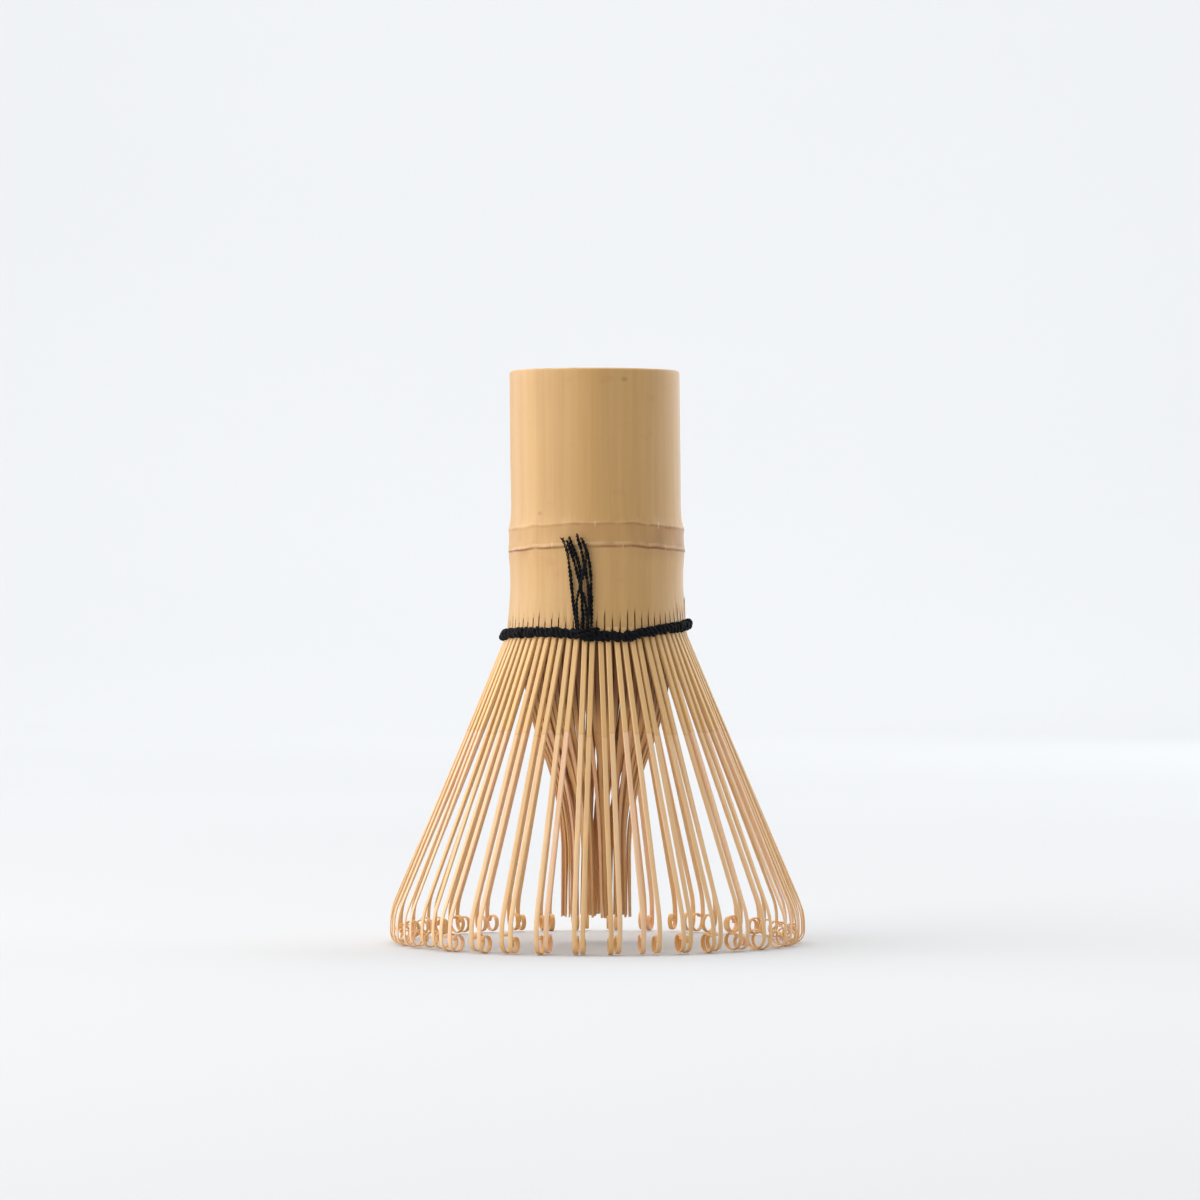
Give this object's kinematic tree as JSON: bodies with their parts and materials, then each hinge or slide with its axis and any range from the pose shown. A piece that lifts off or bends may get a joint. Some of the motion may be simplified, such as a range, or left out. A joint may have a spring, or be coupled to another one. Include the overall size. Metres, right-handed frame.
{
  "type": "tea whisk",
  "caption": "Bamboo tea whisk: a hollow culm handle split below its lacing into hooked outer tines and a closed bundle of inner tines that flex.",
  "frame": {"origin": "on the whisk's axis, in the plane of the lowest points of the hooked tines", "axes": "+Z along the axis, from the tines up to the cut end of the handle; the knot's thread ends lie on the -Y side, which is the front"},
  "size_m": [0.0698, 0.0698, 0.0961],
  "materials": {
    "culm_skin": "smooth natural bamboo",
    "outer_tine": "split and shaved bamboo",
    "inner_tine": "split and shaved bamboo",
    "thread": "matt black cotton"
  },
  "bodies": {
    "culm": {"handle": "culm_skin", "lacing_upper_round": "thread", "lacing_lower_round": "thread", "lacing_inner_round": "thread", "lacing_knot": "thread", "thread_tail_1": "thread", "thread_tail_2": "thread", "thread_tail_3": "thread", "thread_tail_4": "thread", "thread_tail_5": "thread", "thread_tail_6": "thread"},
    "outer_group_01": {"outer_tines_01": "outer_tine"},
    "outer_group_02": {"outer_tines_02": "outer_tine"},
    "outer_group_03": {"outer_tines_03": "outer_tine"},
    "outer_group_04": {"outer_tines_04": "outer_tine"},
    "outer_group_05": {"outer_tines_05": "outer_tine"},
    "outer_group_06": {"outer_tines_06": "outer_tine"},
    "outer_group_07": {"outer_tines_07": "outer_tine"},
    "outer_group_08": {"outer_tines_08": "outer_tine"},
    "outer_group_09": {"outer_tines_09": "outer_tine"},
    "outer_group_10": {"outer_tines_10": "outer_tine"},
    "outer_group_11": {"outer_tines_11": "outer_tine"},
    "outer_group_12": {"outer_tines_12": "outer_tine"},
    "outer_group_13": {"outer_tines_13": "outer_tine"},
    "outer_group_14": {"outer_tines_14": "outer_tine"},
    "outer_group_15": {"outer_tines_15": "outer_tine"},
    "outer_group_16": {"outer_tines_16": "outer_tine"},
    "outer_group_17": {"outer_tines_17": "outer_tine"},
    "outer_group_18": {"outer_tines_18": "outer_tine"},
    "inner_group_01": {"inner_tines_01": "inner_tine"},
    "inner_group_02": {"inner_tines_02": "inner_tine"},
    "inner_group_03": {"inner_tines_03": "inner_tine"},
    "inner_group_04": {"inner_tines_04": "inner_tine"},
    "inner_group_05": {"inner_tines_05": "inner_tine"},
    "inner_group_06": {"inner_tines_06": "inner_tine"},
    "inner_group_07": {"inner_tines_07": "inner_tine"},
    "inner_group_08": {"inner_tines_08": "inner_tine"},
    "inner_group_09": {"inner_tines_09": "inner_tine"}
  },
  "joints": [
    {"name": "outer_flex_01", "type": "hinge", "parent": "culm", "child": "outer_group_01", "pos_m": [0.0146, 0, 0.052], "axis": [0, -1, 0], "range_deg": [-4.5, 5], "stiffness_Nm_per_rad": 0.012},
    {"name": "outer_flex_02", "type": "hinge", "parent": "culm", "child": "outer_group_02", "pos_m": [0.01372, 0.00499, 0.052], "axis": [0.342, -0.9397, 0], "range_deg": [-4.5, 5], "stiffness_Nm_per_rad": 0.012},
    {"name": "outer_flex_03", "type": "hinge", "parent": "culm", "child": "outer_group_03", "pos_m": [0.01118, 0.00938, 0.052], "axis": [0.6428, -0.766, 0], "range_deg": [-4.5, 5], "stiffness_Nm_per_rad": 0.012},
    {"name": "outer_flex_04", "type": "hinge", "parent": "culm", "child": "outer_group_04", "pos_m": [0.0073, 0.01264, 0.052], "axis": [0.866, -0.5, 0], "range_deg": [-4.5, 5], "stiffness_Nm_per_rad": 0.012},
    {"name": "outer_flex_05", "type": "hinge", "parent": "culm", "child": "outer_group_05", "pos_m": [0.00253, 0.01438, 0.052], "axis": [0.9848, -0.1736, 0], "range_deg": [-4.5, 5], "stiffness_Nm_per_rad": 0.012},
    {"name": "outer_flex_06", "type": "hinge", "parent": "culm", "child": "outer_group_06", "pos_m": [-0.00253, 0.01438, 0.052], "axis": [0.9848, 0.1736, 0], "range_deg": [-4.5, 5], "stiffness_Nm_per_rad": 0.012},
    {"name": "outer_flex_07", "type": "hinge", "parent": "culm", "child": "outer_group_07", "pos_m": [-0.0073, 0.01264, 0.052], "axis": [0.866, 0.5, 0], "range_deg": [-4.5, 5], "stiffness_Nm_per_rad": 0.012},
    {"name": "outer_flex_08", "type": "hinge", "parent": "culm", "child": "outer_group_08", "pos_m": [-0.01118, 0.00938, 0.052], "axis": [0.6428, 0.766, 0], "range_deg": [-4.5, 5], "stiffness_Nm_per_rad": 0.012},
    {"name": "outer_flex_09", "type": "hinge", "parent": "culm", "child": "outer_group_09", "pos_m": [-0.01372, 0.00499, 0.052], "axis": [0.342, 0.9397, 0], "range_deg": [-4.5, 5], "stiffness_Nm_per_rad": 0.012},
    {"name": "outer_flex_10", "type": "hinge", "parent": "culm", "child": "outer_group_10", "pos_m": [-0.0146, 0, 0.052], "axis": [0, 1, 0], "range_deg": [-4.5, 5], "stiffness_Nm_per_rad": 0.012},
    {"name": "outer_flex_11", "type": "hinge", "parent": "culm", "child": "outer_group_11", "pos_m": [-0.01372, -0.00499, 0.052], "axis": [-0.342, 0.9397, 0], "range_deg": [-4.5, 5], "stiffness_Nm_per_rad": 0.012},
    {"name": "outer_flex_12", "type": "hinge", "parent": "culm", "child": "outer_group_12", "pos_m": [-0.01118, -0.00938, 0.052], "axis": [-0.6428, 0.766, 0], "range_deg": [-4.5, 5], "stiffness_Nm_per_rad": 0.012},
    {"name": "outer_flex_13", "type": "hinge", "parent": "culm", "child": "outer_group_13", "pos_m": [-0.0073, -0.01264, 0.052], "axis": [-0.866, 0.5, 0], "range_deg": [-4.5, 5], "stiffness_Nm_per_rad": 0.012},
    {"name": "outer_flex_14", "type": "hinge", "parent": "culm", "child": "outer_group_14", "pos_m": [-0.00253, -0.01438, 0.052], "axis": [-0.9848, 0.1736, 0], "range_deg": [-4.5, 5], "stiffness_Nm_per_rad": 0.012},
    {"name": "outer_flex_15", "type": "hinge", "parent": "culm", "child": "outer_group_15", "pos_m": [0.00253, -0.01438, 0.052], "axis": [-0.9848, -0.1736, 0], "range_deg": [-4.5, 5], "stiffness_Nm_per_rad": 0.012},
    {"name": "outer_flex_16", "type": "hinge", "parent": "culm", "child": "outer_group_16", "pos_m": [0.0073, -0.01264, 0.052], "axis": [-0.866, -0.5, 0], "range_deg": [-4.5, 5], "stiffness_Nm_per_rad": 0.012},
    {"name": "outer_flex_17", "type": "hinge", "parent": "culm", "child": "outer_group_17", "pos_m": [0.01118, -0.00938, 0.052], "axis": [-0.6428, -0.766, 0], "range_deg": [-4.5, 5], "stiffness_Nm_per_rad": 0.012},
    {"name": "outer_flex_18", "type": "hinge", "parent": "culm", "child": "outer_group_18", "pos_m": [0.01372, -0.00499, 0.052], "axis": [-0.342, -0.9397, 0], "range_deg": [-4.5, 5], "stiffness_Nm_per_rad": 0.012},
    {"name": "inner_flex_01", "type": "hinge", "parent": "culm", "child": "inner_group_01", "pos_m": [0.01244, 0.00054, 0.052], "axis": [0.0436, -0.999, 0], "range_deg": [0, 5], "stiffness_Nm_per_rad": 0.004},
    {"name": "inner_flex_02", "type": "hinge", "parent": "culm", "child": "inner_group_02", "pos_m": [0.00918, 0.00841, 0.052], "axis": [0.6756, -0.7373, 0], "range_deg": [0, 5], "stiffness_Nm_per_rad": 0.004},
    {"name": "inner_flex_03", "type": "hinge", "parent": "culm", "child": "inner_group_03", "pos_m": [0.00162, 0.01234, 0.052], "axis": [0.9914, -0.1305, 0], "range_deg": [0, 5], "stiffness_Nm_per_rad": 0.004},
    {"name": "inner_flex_04", "type": "hinge", "parent": "culm", "child": "inner_group_04", "pos_m": [-0.00669, 0.0105, 0.052], "axis": [0.8434, 0.5373, 0], "range_deg": [0, 5], "stiffness_Nm_per_rad": 0.004},
    {"name": "inner_flex_05", "type": "hinge", "parent": "culm", "child": "inner_group_05", "pos_m": [-0.01187, 0.00374, 0.052], "axis": [0.3007, 0.9537, 0], "range_deg": [0, 5], "stiffness_Nm_per_rad": 0.004},
    {"name": "inner_flex_06", "type": "hinge", "parent": "culm", "child": "inner_group_06", "pos_m": [-0.0115, -0.00476, 0.052], "axis": [-0.3827, 0.9239, 0], "range_deg": [0, 5], "stiffness_Nm_per_rad": 0.004},
    {"name": "inner_flex_07", "type": "hinge", "parent": "culm", "child": "inner_group_07", "pos_m": [-0.00575, -0.01104, 0.052], "axis": [-0.887, 0.4617, 0], "range_deg": [0, 5], "stiffness_Nm_per_rad": 0.004},
    {"name": "inner_flex_08", "type": "hinge", "parent": "culm", "child": "inner_group_08", "pos_m": [0.00269, -0.01215, 0.052], "axis": [-0.9763, -0.2164, 0], "range_deg": [0, 5], "stiffness_Nm_per_rad": 0.004},
    {"name": "inner_flex_09", "type": "hinge", "parent": "culm", "child": "inner_group_09", "pos_m": [0.00988, -0.00758, 0.052], "axis": [-0.6088, -0.7934, 0], "range_deg": [0, 5], "stiffness_Nm_per_rad": 0.004}
  ]
}
